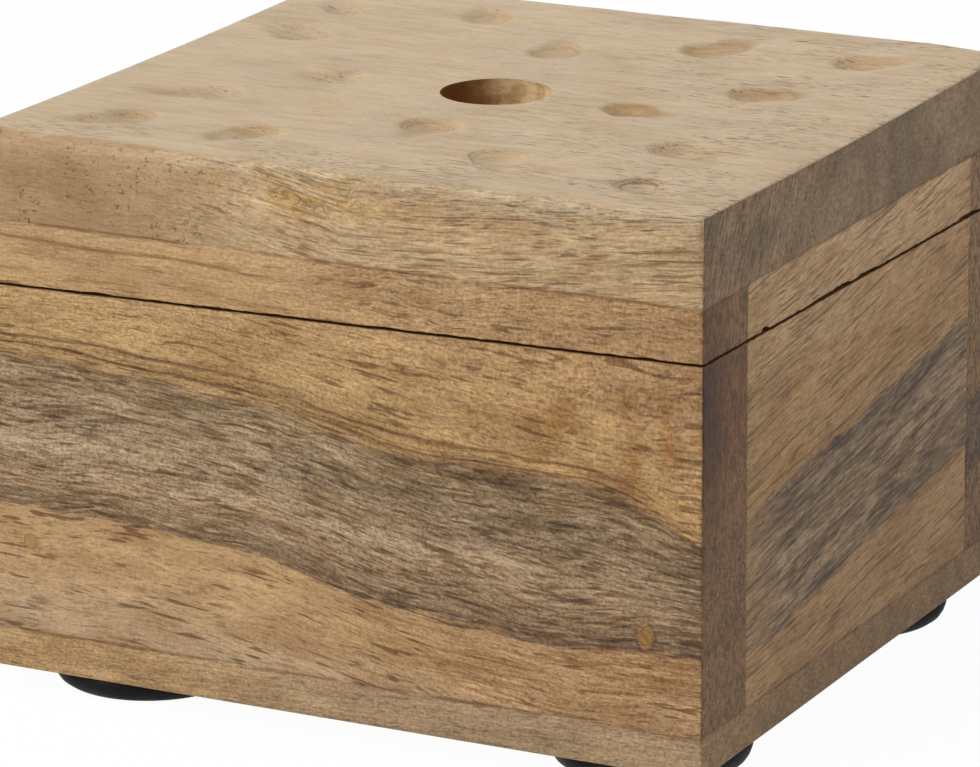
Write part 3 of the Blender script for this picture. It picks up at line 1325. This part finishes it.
base_wood = base_board_wood()
low, high = base_low, base_high
heights = [low.z + rise for rise in BASE_RISES] + [high.z - JOINT_STEP[0]]
base_ys = grid_places(low.y, high.y, BASE_STEPS[1], EDGE_STEPS, EDGE_STEPS)
base_xs = grid_places(low.x, high.x, BASE_STEPS[0], EDGE_STEPS, EDGE_STEPS)
planes = [((0, 0, z), AXES[2]) for z in heights]
planes += [((0, y, 0), AXES[1]) for y in base_ys]
planes += [((x, 0, 0), AXES[0]) for x in base_xs]
grid = sliced("base_board", planes)
for vertex in grid.verts:
    vertex.co = worn(vertex.co / MM) * MM
base = finished_piece("worn_base_board", grid, "box", base_wood, ["base_board"])
print("base board faces:", len(base.data.polygons))

# %% [markdown]
# Four round rubber pads keep the box off the table. Such pads are moulded discs with a domed foot,
# so each one is turned from a short profile: a list of radii and heights that is spun round the
# pad's middle. A pad looks nearly black, and only its edge catches light.

# %% Rubber pads
PAD_TURNS = 96
PAD_SMOOTH_ANGLE = 60
# The domed pad from its foot to its top, as shares of its radius and height
PAD_PROFILE = [(0.72, 0.0), (0.82, 0.03), (0.9, 0.12), (0.95, 0.27), (0.98, 0.47)]
PAD_PROFILE += [(1.0, 0.72), (1.0, 0.94), (0.985, 1.0)]


def turned(profile, middle, turns):
    """A closed solid of revolution from (radius, height) pairs, around an upright axis, in mm."""
    grid = bmesh.new()
    rows = []
    for radius, height in profile:
        row = []
        for k in range(turns):
            angle = 2 * math.pi * k / turns
            x = middle[0] + radius * math.cos(angle)
            y = middle[1] + radius * math.sin(angle)
            row.append(grid.verts.new(Vector((x, y, height)) * MM))
        rows.append(row)
    stitch(grid, rows)
    grid.faces.new(rows[0])
    grid.faces.new(rows[-1])
    return grid


def rubber():
    """Black rubber with a dusty, faintly pebbled skin."""
    material, recipe = new_material("pad_rubber")
    place = recipe.add("ShaderNodeTexCoord", {}, "Object")
    pebbles = place.scaled((1800, 1800, 1800)).noise(2.0)
    dust = place.scaled((160, 160, 160)).noise(3.0)
    colour = dust.fade(0.4, 0.75).mix(tone(7, 7, 7), tone(18, 17, 16))
    rough = dust.fade(0.3, 0.7, 0.55, 0.75)
    recipe.finish(colour, rough, pebbles, 0.00005, 0.5, {"Specular IOR Level": 0.16})
    return material


black_rubber = rubber()
for pad in ("foot_front_left", "foot_front_right", "foot_back_left", "foot_back_right"):
    low, high = (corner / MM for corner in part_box(pad))
    reach = (high.x - low.x) / 2
    rise = high.z - low.z
    profile = [(reach * share, low.z + rise * up) for share, up in PAD_PROFILE]
    grid = turned(profile, (low + high) / 2, PAD_TURNS)
    finished_piece("round_" + pad, grid, "box", black_rubber, [pad], PAD_SMOOTH_ANGLE)
print("pads turned: 4")

# %% [markdown]
# The nails that hold the corners were punched below the surface and their holes filled with an
# ochre putty, which doesn't quite match the wood. Putty is dull and mottled, and metal is smooth with
# fine lines from the drawing die. Each look is again noise at a fitting size, in a recipe of its own.

# %% Putty, steel and brass
def putty_paste():
    """Dull ochre filler, mottled, and paler in the left plug."""
    material, recipe = new_material("ochre_putty")
    place = recipe.add("ShaderNodeTexCoord", {}, "Object")
    mottle = place.scaled((1400, 1400, 1400)).noise(3.0)
    colour = mottle.fade(0.35, 0.65).mix(tone(136, 99, 56), tone(166, 125, 74))
    across = recipe.add("ShaderNodeSeparateXYZ", {0: place}, 0)
    colour = across.fade(0.01, -0.01, 0.0, 0.7).mix(colour, tone(176, 137, 93))
    recipe.finish(colour, 0.8, mottle, 0.0001, 0.5, {"Specular IOR Level": 0.2})
    return material


def metal(name, clean, dull, brushed):
    """Metal with fine drawn lines and duller patches."""
    material, recipe = new_material(name)
    place = recipe.add("ShaderNodeTexCoord", {}, "Object")
    lines = place.scaled(brushed).noise(2.0)
    patch = place.scaled((300, 300, 300)).noise(3.0)
    colour = patch.fade(0.3, 0.8).mix(clean, dull)
    rough = patch.fade(0.3, 0.7, 0.3, 0.42) + (lines - 0.5) * 0.2
    recipe.finish(colour, rough, lines, 0.00002, 0.4, {"Metallic": 1.0})
    return material


putty = putty_paste()
brass = metal("drawn_brass", tone(206, 172, 106), tone(178, 142, 80), (400, 4000, 4000))
steel = metal("nail_steel_grey", tone(170, 170, 168), tone(110, 106, 100), (4000, 4000, 400))
print("putty, brass and steel mixed")

# %% [markdown]
# Two small brass hinges at the back carry the lid, with a pin each and countersunk screws. They keep
# their measured shape, and a bevel modifier rounds the brass edges so that they catch light. The
# nails are hidden in the wood and stay plain, and the plugs are worn flush with the boards.

# %% Dress the fittings
BEVEL_WIDTH = 0.12
BEVEL_ANGLE = math.radians(40)
small_parts = {}
for side in ("left", "right"):
    for piece in ("box_leaf", "lid_leaf", "pin"):
        small_parts[f"hinge_{side}_{piece}"] = brass
small_parts.update(box_leaf_screws=brass, lid_leaf_screws=brass, corner_nails=steel)
for name, look in small_parts.items():
    part = nodes[name]
    part.data.materials.clear()
    part.data.materials.append(look)
    if look is brass:
        bevel = part.modifiers.new("narrow_bevel", "BEVEL")
        bevel.width = BEVEL_WIDTH * MM
        bevel.segments = 2
        bevel.limit_method = "ANGLE"
        bevel.angle_limit = BEVEL_ANGLE
plugs = sliced("nail_fillers", [])
for vertex in plugs.verts:
    vertex.co = worn(vertex.co / MM) * MM
finished_piece("flush_nail_fillers", plugs, "box", putty, ["nail_fillers"])
print("fittings dressed:", len(small_parts) + 1)
